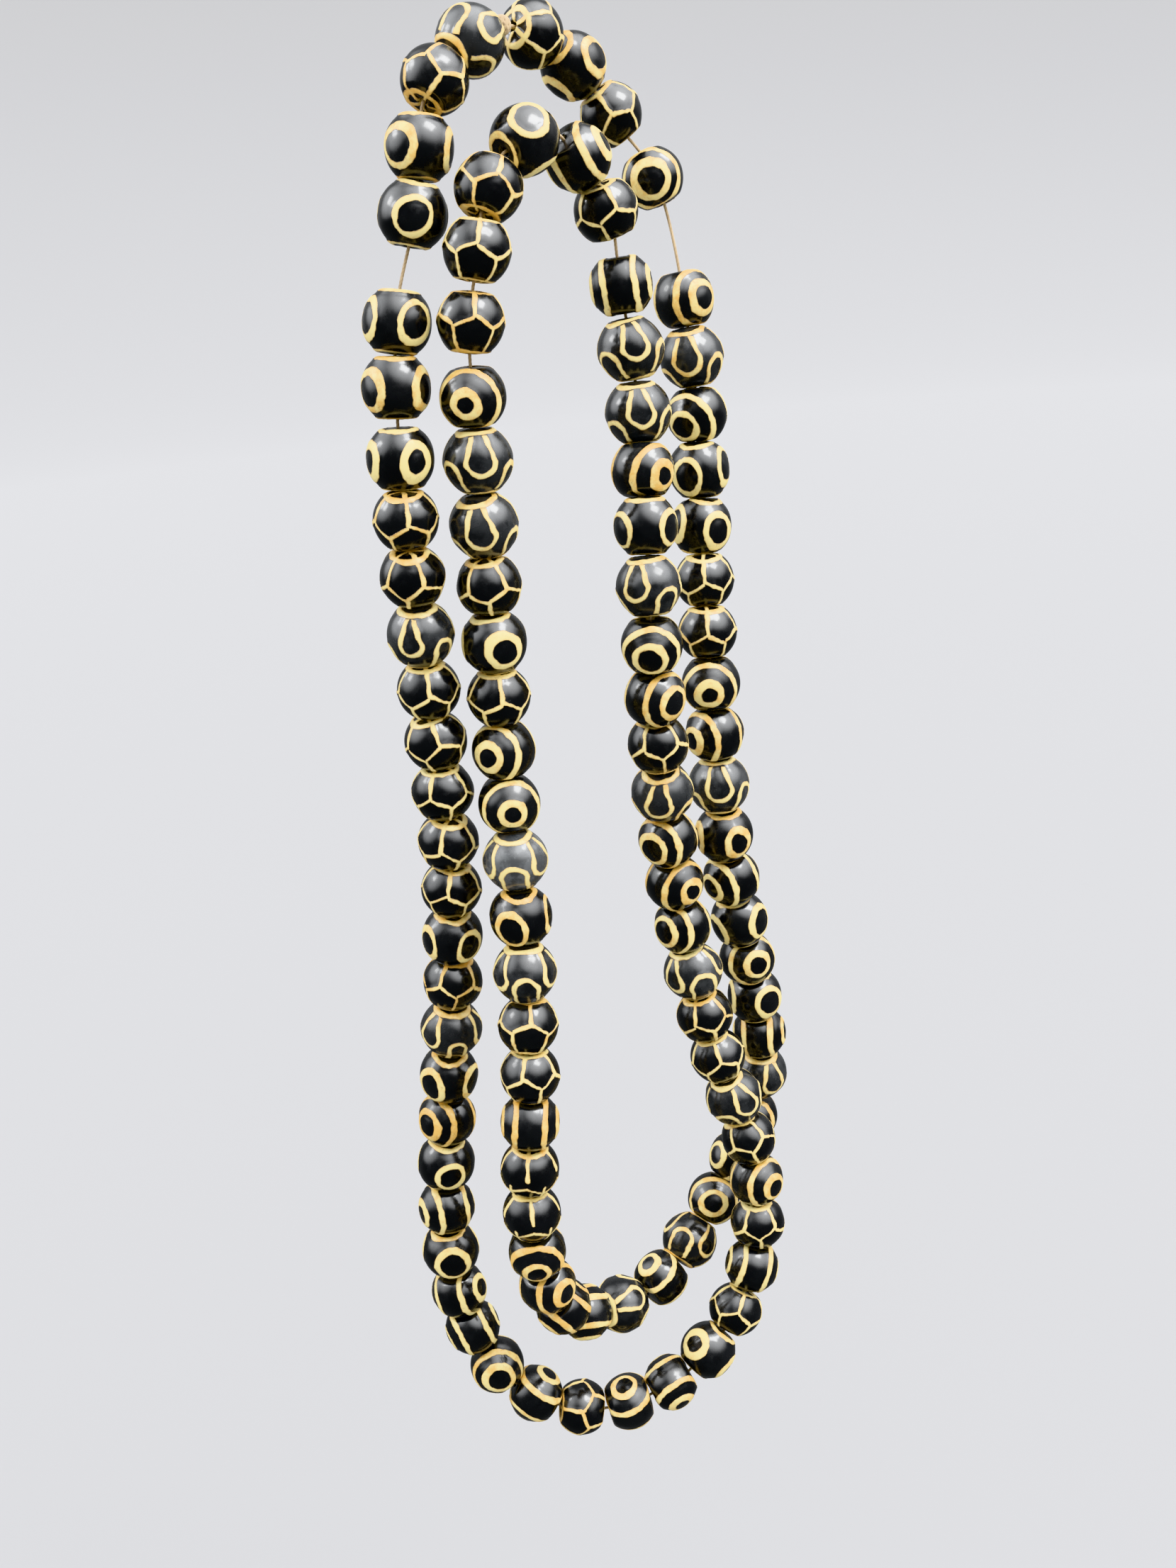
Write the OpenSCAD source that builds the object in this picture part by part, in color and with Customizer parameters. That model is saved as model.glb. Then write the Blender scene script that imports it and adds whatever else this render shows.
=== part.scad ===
// Agate bead necklace: one long closed string of round stone beads, worn as two turns.
// The string hangs from a point at the origin, which lies under the crown of the inner turn.
// +X is to the right of the hanging necklace, +Y is away from the viewer, +Z is up.

/* [Beads] */
// Belt diameter of the plain bead, which the whole necklace scales with
bead_d = 8.0; // [6:0.1:12]
// Diameter of the hole drilled through each bead, for a bead of 8 mm
bore_d = 1.0; // [0.8:0.05:1.2]
// Clearance between the shoulders of two neighbouring beads
bead_gap = 0.12; // [0.1:0.01:0.13]

/* [Thread] */
// Diameter of the thread, for a bead of 8 mm
thread_d = 0.4; // [0.3:0.05:0.5]
// Diameter of the tied knot that closes the string, for a bead of 8 mm
knot_d = 2.4; // [1.4:0.1:2.4]

/* [Hidden] */

// Every size below is for a bead of 8 mm, and the parts are scaled by this at the end
unit = bead_d / 8;

// The four kinds of bead by their pattern: letter, belt diameter, length, fullness of the side
BEAD_KINDS = [
    ["T", 8.0, 6.8, 2.05],  // zigzag belt
    ["E", 8.1, 7.2, 2.35],  // three eyes
    ["S", 8.0, 6.85, 2.1],  // two ringed eyes
    ["L", 8.4, 7.6, 2.0],   // petals
];
// A small letter in the string is the same kind, ground shorter by this much
short_by = 0.45;
// Height of the domed end, the ledge at the bore and the depth of its chamfer
dome_h = 0.18;
lip_w = 0.2;
lip_h = 0.15;

// The beads in the order in which they are strung, starting at the knot
outer_turn = str(
    "LtE",                   // crown of the outer turn, left half
    "EEEETTLTTTTTETLESESE",  // outer left strand, downwards
    "ssSStssEt",             // outer bow at the bottom
    "STSTLTTLSSSLTSSLEsLLS"  // inner right strand, upwards
);
inner_turn = str(
    "tset",                  // crown of the inner turn
    "TTSLLTETSSLELTTSTTs",   // inner left strand, downwards
    "ssSlslSSS",             // inner bow at the bottom
    "LSESESELSSTTEESLSST",   // outer right strand, upwards
    "ET"                     // crown of the outer turn, right half
);
STRING = str(outer_turn, inner_turn);

// Where thread shows or a joint is slack: number of the bead before it, extra length
BARE_THREAD = [
    [3, 4.9], [5, 0.8], [51, 0.3], [52, 2.0], [54, 0.25], [55, 0.25],
    [57, 1.0], [58, 1.4], [78, 0.15], [101, 8.3], [102, 2.0], [103, 0.06]
];

// The route of the thread, run by run, as points that it passes through
crown_left = [[-3, 6.5, 17.5], [-11.5, -2.5, 11]];
outer_left_strand = [
    [-14.5, -5, -2.5], [-18, -7.5, -14], [-19.5, -10.5, -37.5], [-19.5, -8.5, -59],
    [-19.5, -7.5, -79.5], [-21.5, -5.5, -100.5], [-25, -4, -122.5], [-27, -4.5, -144]
];
outer_bow = [
    [-25, -4.5, -158], [-22, -5.5, -164.5], [-10.5, -6.5, -172], [4, -4.5, -170],
    [14.5, 0.5, -161.5], [18.5, 3, -148.5]
];
inner_right_strand = [
    [18, 4, -134.5], [14, 3.5, -120], [10.5, 3, -99], [9, 0, -78],
    [9, -3.5, -57], [9.5, -0.5, -42], [10, 4, -28.5], [9, 5.5, -12.5]
];
inner_crown = [[8, 5.5, -3], [1.5, 0, 5.5], [-5.5, -6, 1]];
inner_left_strand = [
    [-7.5, -8.5, -7], [-9.5, -8.5, -15], [-10, -9, -23.5], [-10.5, -9.5, -46],
    [-11, -9, -67], [-11, -12, -89], [-12, -14.5, -110.5], [-14, -15, -131.5]
];
inner_bow = [
    [-13, -13, -145.5], [-11, -9.5, -151.5], [-8.5, -5, -156], [-3.5, -0.5, -159],
    [3, 3.5, -158], [12.5, 11, -149.5], [20, 15, -137]
];
outer_right_strand = [
    [21.5, 13.5, -122.5], [20, 10.5, -109], [17.5, 7, -88], [17, 7, -66],
    [17.5, 11, -45], [18, 14.5, -23], [15, 18, -0.5]
];
crown_right = [[10, 18.5, 7], [5.5, 16, 14]];
ROUTE = concat(crown_left, outer_left_strand, outer_bow, inner_right_strand, inner_crown,
    inner_left_strand, inner_bow, outer_right_strand, crown_right);

// Distance along the route, from its first point, at which the first bead starts
first_bead_at = 1.4;
// Steps of the curve between two route points
ROUTE_STEPS = 16;
// Half of the stretch over which the direction of the thread is read
TANGENT_REACH = 0.8;
// Share of the angle between two beads for which their ends are given room, a little over half
BEND_SHARE = 0.55;
// Sides of a bead and of the thread
BEAD_FN = 48;
THREAD_SIDES = 6;
// Longest stretch of thread between two of its rings, where no bead covers it
THREAD_STEP = 2.5;

// Route as a closed curve through its points (a centripetal Catmull-Rom spline)
function mix_at(a, b, ta, tb, t) = (a * (tb - t) + b * (t - ta)) / (tb - ta);
function spline(p, t1, t2, t3, t) =
    let (a = mix_at(p[0], p[1], 0, t1, t), b = mix_at(p[1], p[2], t1, t2, t),
         c = mix_at(p[2], p[3], t2, t3, t))
    mix_at(mix_at(a, b, 0, t2, t), mix_at(b, c, t1, t3, t), t1, t2, t);
function wrapped(list, i) = list[(i + len(list)) % len(list)];
CURVE = [
    for (i = [0:len(ROUTE) - 1])
        let (p = [for (k = [-1:2]) wrapped(ROUTE, i + k)],
             t1 = sqrt(norm(p[1] - p[0])),
             t2 = t1 + sqrt(norm(p[2] - p[1])),
             t3 = t2 + sqrt(norm(p[3] - p[2])))
        for (k = [0:ROUTE_STEPS - 1]) spline(p, t1, t2, t3, t1 + (t2 - t1) * k / ROUTE_STEPS)
];

// Length along the curve at each of its points, and the point found back from a length
function lengths(c) = [
    for (i = 0, s = 0; i <= len(c); s = s + norm(wrapped(c, i + 1) - wrapped(c, i)), i = i + 1) s
];
ALONG = lengths(CURVE);
route_len = ALONG[len(CURVE)];
function axis_table(k) = [for (i = [0:len(CURVE)]) [ALONG[i], wrapped(CURVE, i)[k]]];
X_AT = axis_table(0);
Y_AT = axis_table(1);
Z_AT = axis_table(2);
function round_trip(s) = s - route_len * floor(s / route_len);
function at(s) = let (r = round_trip(s)) [lookup(r, X_AT), lookup(r, Y_AT), lookup(r, Z_AT)];
function unit_vector(v) = v / norm(v);
function heading(s) = unit_vector(at(s + TANGENT_REACH) - at(s - TANGENT_REACH));
function angle_between(a, b) = acos(max(-1, min(1, a * b)));

// Kind of the bead with this number, its length and its half outline from belt to bore
function place_in(letter, letters) = search(letter, letters)[0];
function kind(i) = BEAD_KINDS[place_in(STRING[i], "TESLtesl") % 4];
function is_short(i) = place_in(STRING[i], "TESLtesl") > 3;
function bead_len(i) = kind(i)[2] - (is_short(i) ? short_by : 0);
function outline(belt_r, half_len, fullness, sides = 6) =
    let (shoulder_z = half_len - dome_h,
         side = [for (k = [0:sides])
             let (z = shoulder_z * k / sides)
             [belt_r * pow(1 - pow(z / belt_r, fullness), 1 / fullness), z]])
    concat(side, [
        [side[sides][0] * 0.55, half_len - 0.05],
        [bore_d / 2 + lip_w, half_len],
        [bore_d / 2, half_len - lip_h]
    ]);
function bead_outline(i) = outline(kind(i)[1] / 2, bead_len(i) / 2, kind(i)[3]);

// Room that a bead's shoulder takes beyond its end when the next bead is tilted to it
function shoulder_room(i, tilt) =
    max([for (p = bead_outline(i)) p[1] + p[0] * tan(tilt)]) - bead_len(i) / 2;
function bare_after(i) =
    let (found = [for (row = BARE_THREAD) if (row[0] == i) row[1]]) len(found) > 0 ? found[0] : 0;

// One bead's place: start and end of its axis, and the length along the route where it ends
function seat(i, from) =
    let (bow = angle_between(heading(from), heading(from + bead_len(i))),
         half_bow = bow * PI / 360,
         arc = bead_len(i) * (bow > 0.01 ? half_bow / sin(bow / 2) : 1))
    [at(from), at(from + arc), from + arc];
// Length along the route where the bead after it starts
function next_start(i, placed) =
    let (n = (i + 1) % len(STRING), bare = bare_after(i),
         ahead = placed[2] + 0.3 + bare + bead_len(n) / 2,
         turn = angle_between(unit_vector(placed[1] - placed[0]), heading(ahead)),
         tilt = turn * BEND_SHARE)
    placed[2] + bead_gap + shoulder_room(i, tilt) + shoulder_room(n, tilt) + bare;
SEATS = [
    for (i = 0, s = seat(0, first_bead_at); i < len(STRING);
         n = next_start(i, s), i = i + 1, s = i < len(STRING) ? seat(i, n) : s) s
];
string_end = SEATS[len(SEATS) - 1][2];
knot_at = (string_end + first_bead_at + route_len) / 2;

// Half of a bead's outline mirrored to a closed section, turned round the thread
module bead(i) {
    half = bead_outline(i);
    last = len(half) - 1;
    section = concat(
        [for (k = [last:-1:1]) [half[k][0], -half[k][1]]],
        half
    );
    rotate_extrude($fn = BEAD_FN) polygon(section);
}

// Puts a thing that is made along Z on the line from one point to another
module on_axis(from, to) {
    dir = unit_vector(to - from);
    translate((from + to) / 2) rotate([0, acos(dir[2]), atan2(dir[1], dir[0])]) children();
}

module beads(first, count) {
    scale(unit) union() {
        for (i = [first:first + count - 1]) on_axis(SEATS[i][0], SEATS[i][1]) bead(i);
    }
}

module outer_turn_beads() {
    color([0.09, 0.09, 0.1]) beads(0, len(outer_turn));
}

module inner_turn_beads() {
    color([0.1, 0.1, 0.11]) beads(len(outer_turn), len(inner_turn));
}

// Rings of the thread: the middle of each joint, with more where it lies bare
function joint(i) =
    let (from = SEATS[i][2],
         to = i + 1 < len(SEATS) ? from + next_start(i, SEATS[i]) - SEATS[i][2]
                                 : route_len + first_bead_at,
         parts = max(1, ceil((to - from) / THREAD_STEP)))
    [for (k = [0:parts - 1]) from + (to - from) * (k + 0.5) / parts];
THREAD_STATIONS = [for (i = [0:len(SEATS) - 1]) each joint(i)];

// Side directions of the rings, carried from ring to ring so that the tube does not twist
function level(v, dir) = unit_vector(v - dir * (v * dir));
function ring_dirs(dirs) = [
    for (i = 0, u = level([1, 0, 0], dirs[0]); i < len(dirs);
         i = i + 1, u = i < len(dirs) ? level(u, dirs[i]) : u) u
];

module thread() {
    dirs = [for (s = THREAD_STATIONS) heading(s)];
    sides_u = ring_dirs(dirs);
    count = len(dirs);
    points = [
        for (i = [0:count - 1])
            let (centre = at(THREAD_STATIONS[i]), u = sides_u[i], v = cross(dirs[i], u))
            for (k = [0:THREAD_SIDES - 1])
                let (a = 360 * k / THREAD_SIDES)
                centre + (u * cos(a) + v * sin(a)) * thread_d / 2
    ];
    function corner(i, k) = (i % count) * THREAD_SIDES + k % THREAD_SIDES;
    faces = [
        for (i = [0:count - 1]) for (k = [0:THREAD_SIDES - 1])
            each [[corner(i, k), corner(i + 1, k), corner(i, k + 1)],
                  [corner(i + 1, k), corner(i + 1, k + 1), corner(i, k + 1)]]
    ];
    color([0.62, 0.5, 0.34]) scale(unit) polyhedron(points, faces);
}

// The knot is a small turned bead of thread that closes the string at the top
module thread_knot() {
    knot_bore_r = thread_d / 2 + 0.1;
    color([0.55, 0.43, 0.28]) scale(unit)
    on_axis(at(knot_at - 0.2), at(knot_at + 0.2)) difference() {
        sphere(d = knot_d, $fn = BEAD_FN);
        cylinder(h = knot_d * 2, r = knot_bore_r, center = true, $fn = BEAD_FN);
    }
}

outer_turn_beads();
inner_turn_beads();
thread();
thread_knot();
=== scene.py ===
# %% [markdown]
# # A long string of patterned agate beads
# The real necklace is one closed string of about a hundred round black agate beads, each with raised cream
# lines: zigzag belts, eyes, ringed eyes or petals. It hangs doubled, in two turns.
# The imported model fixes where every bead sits. This lesson gives each bead its ground shape, its raised lines
# and its stone, and it spins the thread. Everything is in metres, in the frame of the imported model.

import bpy
import numpy as np
from mathutils import Matrix


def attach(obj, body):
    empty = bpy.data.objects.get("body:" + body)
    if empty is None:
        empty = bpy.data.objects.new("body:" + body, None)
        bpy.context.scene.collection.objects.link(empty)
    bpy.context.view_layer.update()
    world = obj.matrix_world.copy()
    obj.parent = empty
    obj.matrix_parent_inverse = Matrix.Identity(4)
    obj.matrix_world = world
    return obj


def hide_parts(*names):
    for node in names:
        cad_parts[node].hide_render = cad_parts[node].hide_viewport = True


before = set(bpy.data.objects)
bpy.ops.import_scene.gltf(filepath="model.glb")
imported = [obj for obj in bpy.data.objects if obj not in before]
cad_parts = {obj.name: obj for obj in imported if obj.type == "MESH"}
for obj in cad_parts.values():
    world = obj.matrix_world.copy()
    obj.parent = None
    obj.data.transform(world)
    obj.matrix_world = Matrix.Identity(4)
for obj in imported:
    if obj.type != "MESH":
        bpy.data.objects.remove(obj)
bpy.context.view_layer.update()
print("packed nodes:", sorted(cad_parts))

# %% [markdown]
# ## The route of the string
# A string of beads has no shape of its own: it follows the thread. The route is a list of points that the
# thread passes through, in millimetres: from the knot down the outer left side, round the bottom, up the
# inner right side, over the crown, and the same again for the second turn. The six points over the two
# crowns were chosen. The other 45 are centres of beads that a least-squares program worked out from
# the beads' measured places, rounded to half a millimetre.
# A centripetal Catmull-Rom spline is the right curve here, because it passes through its points and doesn't
# overshoot where they stand close together.

# %% Route points and the closed curve through them
MM = 0.001

CROWN_LEFT = [[-3, 6.5, 17.5], [-11.5, -2.5, 11]]
OUTER_LEFT_STRAND = [
    [-14.5, -5, -2.5],
    [-18, -7.5, -14],
    [-19.5, -10.5, -37.5],
    [-19.5, -8.5, -59],
    [-19.5, -7.5, -79.5],
    [-21.5, -5.5, -100.5],
    [-25, -4, -122.5],
    [-27, -4.5, -144],
]
OUTER_BOW = [
    [-25, -4.5, -158],
    [-22, -5.5, -164.5],
    [-10.5, -6.5, -172],
    [4, -4.5, -170],
    [14.5, 0.5, -161.5],
    [18.5, 3, -148.5],
]
INNER_RIGHT_STRAND = [
    [18, 4, -134.5],
    [14, 3.5, -120],
    [10.5, 3, -99],
    [9, 0, -78],
    [9, -3.5, -57],
    [9.5, -0.5, -42],
    [10, 4, -28.5],
    [9, 5.5, -12.5],
]
INNER_CROWN = [[8, 5.5, -3], [1.5, 0, 5.5], [-5.5, -6, 1]]
INNER_LEFT_STRAND = [
    [-7.5, -8.5, -7],
    [-9.5, -8.5, -15],
    [-10, -9, -23.5],
    [-10.5, -9.5, -46],
    [-11, -9, -67],
    [-11, -12, -89],
    [-12, -14.5, -110.5],
    [-14, -15, -131.5],
]
INNER_BOW = [
    [-13, -13, -145.5],
    [-11, -9.5, -151.5],
    [-8.5, -5, -156],
    [-3.5, -0.5, -159],
    [3, 3.5, -158],
    [12.5, 11, -149.5],
    [20, 15, -137],
]
OUTER_RIGHT_STRAND = [
    [21.5, 13.5, -122.5],
    [20, 10.5, -109],
    [17.5, 7, -88],
    [17, 7, -66],
    [17.5, 11, -45],
    [18, 14.5, -23],
    [15, 18, -0.5],
]
CROWN_RIGHT = [[10, 18.5, 7], [5.5, 16, 14]]
LEFT_SIDE = CROWN_LEFT + OUTER_LEFT_STRAND + OUTER_BOW + INNER_RIGHT_STRAND
RIGHT_SIDE = INNER_CROWN + INNER_LEFT_STRAND + INNER_BOW + OUTER_RIGHT_STRAND
ROUTE = np.array(LEFT_SIDE + RIGHT_SIDE + CROWN_RIGHT, float)


def mix_at(a, b, start, end, t):
    """Straight blend from a at start to b at end, read at t."""
    return (a * (end - t) + b * (t - start)) / (end - start)


def closed_curve(points, steps=16):
    """Points along a closed centripetal Catmull-Rom spline, all spans at once.

    Each span has four neighbours. Their knots are spaced by the square root of the distance between them,
    and the point is a blend of three blends of straight lines, read at the same knot value.
    """
    p0, p1, p2, p3 = (np.roll(points, shift, axis=0)[:, None, :] for shift in (1, 0, -1, -2))
    t1 = np.sqrt(np.linalg.norm(p1 - p0, axis=2))[..., None]
    t2 = t1 + np.sqrt(np.linalg.norm(p2 - p1, axis=2))[..., None]
    t3 = t2 + np.sqrt(np.linalg.norm(p3 - p2, axis=2))[..., None]
    t = t1 + (t2 - t1) * (np.arange(steps) / steps)[None, :, None]
    a = mix_at(p0, p1, 0, t1, t)
    b = mix_at(p1, p2, t1, t2, t)
    c = mix_at(p2, p3, t2, t3, t)
    return mix_at(mix_at(a, b, 0, t2, t), mix_at(b, c, t1, t3, t), t1, t2, t).reshape(-1, 3)


curve = closed_curve(ROUTE)
looped = np.vstack([curve, curve[:1]])
strides = np.linalg.norm(np.diff(looped, axis=0), axis=1)
along = np.concatenate([[0], np.cumsum(strides)])
route_length = along[-1]


def at(distance):
    """Points of the route at these distances from its start, by straight lines between the curve's points."""
    wrapped = np.mod(distance, route_length)
    return np.stack([np.interp(wrapped, along, looped[:, axis]) for axis in range(3)], axis=-1)


def unit(vectors):
    """Vectors divided by their own length."""
    return vectors / np.linalg.norm(vectors, axis=-1, keepdims=True)


def heading(distance, reach=0.8):
    """Direction of the route: from a little before the place to a little after it."""
    return unit(at(distance + reach) - at(distance - reach))


print("route length", round(route_length, 1), "mm")

# %% [markdown]
# ## Threading the beads
# Four kinds of bead repeat on the string, each with its own letter, belt diameter, length and fullness. A
# small letter is a bead ground a little shorter. The beads are threaded one after the other: each starts
# where the last one ended, plus the room that their shoulders need where the string bends, plus any thread
# that shows.

# %% Kinds of bead, their order, and the seat of each
# Letter: belt diameter, length, fullness (2 is a round side, more is a fuller barrel)
KINDS = {
    "T": (8.0, 6.8, 2.05),
    "E": (8.1, 7.2, 2.35),
    "S": (8.0, 6.85, 2.1),
    "L": (8.4, 7.6, 2.0),
}
SHORT_BY = 0.45
DOME_HEIGHT = 0.18
LIP_WIDTH = 0.2
LIP_DEPTH = 0.15
BORE_RADIUS = 0.5
BEAD_GAP = 0.12
BEND_SHARE = 0.55
FIRST_BEAD_AT = 1.4
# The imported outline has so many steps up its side, and its dome bends at this share of the shoulder's radius,
# so far below the end
SIDE_STEPS = 6
DOME_BEND = 0.55
DOME_BEND_DEPTH = 0.05
# Room for the gap when the place of the next bead is first guessed
GUESSED_GAP = 0.3

OUTER_TURN = "LtE" + "EEEETTLTTTTTETLESESE" + "ssSStssEt" + "STSTLTTLSSSLTSSLEsLLS"
INNER_TURN = "tset" + "TTSLLTETSSLELTTSTTs" + "ssSlslSSS" + "LSESESELSSTTEESLSST" + "ET"
STRING = OUTER_TURN + INNER_TURN
# Number of the bead before the place where thread shows, and the extra length there
BARE_THREAD = {
    3: 4.9,
    5: 0.8,
    51: 0.3,
    52: 2.0,
    54: 0.25,
    55: 0.25,
    57: 1.0,
    58: 1.4,
    78: 0.15,
    101: 8.3,
    102: 2.0,
    103: 0.06,
}


def bead_size(letter):
    """Belt radius, half length and fullness of a bead."""
    width, length, fullness = KINDS[letter.upper()]
    shorter = SHORT_BY if letter.islower() else 0.0
    return width / 2, (length - shorter) / 2, fullness


def side_radius(z, belt, fullness):
    """Radius of the side at height z: a superellipse, belt * (1 - (z / belt) ** n) ** (1 / n)."""
    return belt * (1 - (z / belt) ** fullness) ** (1 / fullness)


def shoulder_room(letter, tilt):
    """How far a tilted bead's shoulder reaches past its own end, at most, over its outline."""
    belt, half, fullness = bead_size(letter)
    z = (half - DOME_HEIGHT) * np.arange(SIDE_STEPS + 1) / SIDE_STEPS
    r = side_radius(z, belt, fullness)
    z = np.append(z, [half - DOME_BEND_DEPTH, half, half - LIP_DEPTH])
    r = np.append(r, [r[-1] * DOME_BEND, BORE_RADIUS + LIP_WIDTH, BORE_RADIUS])
    return np.max(z + r * np.tan(tilt)) - half


def angle_between(a, b):
    """Angle between two unit vectors, in radians."""
    return float(np.arccos(np.clip(a @ b, -1, 1)))


def thread_beads(string):
    """Ends of each bead's axis on the route, and the distances along it where the bead starts and ends."""
    seats = []
    start = FIRST_BEAD_AT
    for number, letter in enumerate(string):
        length = 2 * bead_size(letter)[1]
        bow = angle_between(heading(start), heading(start + length))
        end = start + length * (bow / 2 / np.sin(bow / 2) if bow > 1e-6 else 1)
        axis = unit(at(end) - at(start))
        seats.append((at(start), at(end), start, end))
        follower = string[(number + 1) % len(string)]
        bare = BARE_THREAD.get(number, 0.0)
        ahead = end + GUESSED_GAP + bare + bead_size(follower)[1]
        tilt = BEND_SHARE * angle_between(axis, heading(ahead))
        start = end + BEAD_GAP + shoulder_room(letter, tilt) + shoulder_room(follower, tilt) + bare
    return seats


seats = thread_beads(STRING)
print(len(seats), "beads threaded, string ends at", round(seats[-1][3], 2), "mm")

# %% [markdown]
# ## How each bead is turned
# A bead is free to turn on its thread, so each shows its pattern at its own angle. A pattern drawn by hand
# also misses the line of the bore by some degrees, and on some beads it is drawn closer together on one side.
# A turn of 0 shows an eye, a petal or an upper corner of the zigzag to the viewer, and a positive one turns
# it to the viewer's right. A lean tips the top of the pattern towards the viewer.
# The angles are in steps of five degrees. They were first read off strand by strand. A search program
# then looked for the turn and the leans at which each pattern lies best over the real bead's lines, and most
# of the angles below are its results, rounded. The rest, and the crowded patterns, were set one by one.

# %% Turn and lean of each pattern
TURNS_CROWN_LEFT = [0, 40, 80]
TURNS_OUTER_LEFT = [0, 40, 65, 35, 5, 20, -20, 0, 5, -25, -15, -5, 45, -25, -45, -45, -40, 10, -70, 0]
TURNS_OUTER_BOW = [55, -95, -20, 60, -10, -35, 70, -30, 10]
TURNS_INNER_RIGHT = [105, -30, 45, 30, 20, 0, -25, -50, -45, 35, -40, -10, -30, 40]
TURNS_INNER_RIGHT += [-5, -25, 60, 45, 5, 10, 85]
TURNS_INNER_CROWN = [20, 70, -30, 10]
TURNS_INNER_LEFT = [0, 5, -15, 5, -10, 30, 15, 5, -35, 5, 55, -25, 60, 5, -15, 90, -5, 0, -10]
TURNS_INNER_BOW = [25, 85, 85, 0, -45, 45, 5, -45, 0]
TURNS_OUTER_RIGHT = [35, 80, 40, 25, 50, -55, 35, 0, -55, -5, 0, 0, 45, 85, -30, -10, 45, -5, 0]
TURNS_CROWN_RIGHT = [50, -20]
LEANS_CROWN_LEFT = [5, 5, 5]
LEANS_OUTER_LEFT = [10, 5, 10, 10, 15, 15, 5, 5, 5, 5, 10, 0, 5, -5, 5, 10, 5, 5, 5, 5]
LEANS_OUTER_BOW = [-5, 10, 10, 5, 5, 5, 0, 10, 5]
LEANS_INNER_RIGHT = [0, 5, 5, -5, 5, 0, 5, 0, -5, 5, -5, 10, -10, 0, 20, 10, 15, 20, 15, 5, 5]
LEANS_INNER_CROWN = [5, 5, 5, 5]
LEANS_INNER_LEFT = [5, -5, 10, 5, 15, 10, 5, 5, 0, 10, 15, 15, 5, -10, 0, 5, 5, 0, 15]
LEANS_INNER_BOW = [-5, 0, 10, 10, 10, 0, 10, 10, 5]
LEANS_OUTER_RIGHT = [5, 5, -15, -20, -5, 0, 0, -5, 10, 15, 15, 20, 10, 15, 30, 15, 10, 5, 5]
LEANS_CROWN_RIGHT = [5, 5]
# Number of the bead, and how far its pattern leans to the viewer's right
SIDEWAYS = {11: -10, 13: 5, 14: 5, 16: 5, 19: 10, 23: -5, 24: -5, 31: -5, 32: 5, 33: -5, 35: -10, 39: -5}
SIDEWAYS |= {40: 10, 44: -5, 45: -5, 47: -5, 49: 10, 51: -5, 59: -5, 61: -10, 62: -5, 63: -5, 70: 5}
SIDEWAYS |= {76: -5, 78: -5, 86: -5, 87: 10, 88: 10, 89: -5, 91: 5, 97: 10, 98: -5, 100: -5}
# Number of the bead, and by how many degrees at most its pattern is drawn closer to the viewer's side
CROWDED = {4: 10, 6: 15, 15: 15, 18: 10, 68: 10, 91: 10, 97: 10, 98: 15}
TURNS = TURNS_CROWN_LEFT + TURNS_OUTER_LEFT + TURNS_OUTER_BOW + TURNS_INNER_RIGHT
TURNS += TURNS_INNER_CROWN + TURNS_INNER_LEFT + TURNS_INNER_BOW + TURNS_OUTER_RIGHT + TURNS_CROWN_RIGHT
LEANS = LEANS_CROWN_LEFT + LEANS_OUTER_LEFT + LEANS_OUTER_BOW + LEANS_INNER_RIGHT
LEANS += LEANS_INNER_CROWN + LEANS_INNER_LEFT + LEANS_INNER_BOW + LEANS_OUTER_RIGHT + LEANS_CROWN_RIGHT
VIEWER = np.array([-0.8, -205.0, -3.2])


def bead_frame(seat, turn=0.0, forward=0.0, sideways=0.0):
    """Centre of a bead and three axes: two across the bore, the first turned by turn, and one along it.

    The axis along the bore points to its upper end. It may lean towards the viewer and to the right, by the
    tangents of two angles. The direction to the viewer is made square to it, and the first axis is that
    direction turned about the bore.
    """
    start, end = seat[0], seat[1]
    centre = (start + end) / 2
    up = unit(end - start)
    up = up if up[2] > 0 else -up
    sight = unit(VIEWER - centre)
    near = unit(sight - up * (up @ sight))
    up = unit(up + near * np.tan(forward) + np.cross(up, near) * np.tan(sideways))
    near = unit(sight - up * (up @ sight))
    first = near * np.cos(turn) + np.cross(up, near) * np.sin(turn)
    return centre, np.stack([first, np.cross(up, first), up])


frames = [bead_frame(seat) for seat in seats]
sideways = np.radians([SIDEWAYS.get(number, 0) for number in range(len(STRING))])
stances = zip(seats, np.radians(TURNS), np.radians(LEANS), sideways, strict=True)
pattern_axes = [bead_frame(*stance)[1] for stance in stances]
print("frames for", len(frames), "beads and", len(pattern_axes), "patterns")

# %% [markdown]
# ## Camera
# The view is from a little above, close to the beads, so that near beads look clearly larger than far ones.
# A camera looks along its own -Z with +Y up, so its matrix is built from three directions: right, up and
# backwards. The small roll is that of a camera which doesn't stand quite level.

# %% Camera at the viewing angle
EYE = VIEWER * MM
LOOKING_DOWN = np.radians(19.5)
ROLL = np.radians(5.4)
FOCAL_PIXELS = 2300
PICTURE_HEIGHT = 2212
FILM_HEIGHT = 36.0

ahead = np.array([0, np.cos(LOOKING_DOWN), -np.sin(LOOKING_DOWN)])
level = np.array([1.0, 0.0, 0.0])
upright = np.cross(level, ahead)
right = level * np.cos(ROLL) - upright * np.sin(ROLL)
above = upright * np.cos(ROLL) + level * np.sin(ROLL)

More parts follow.
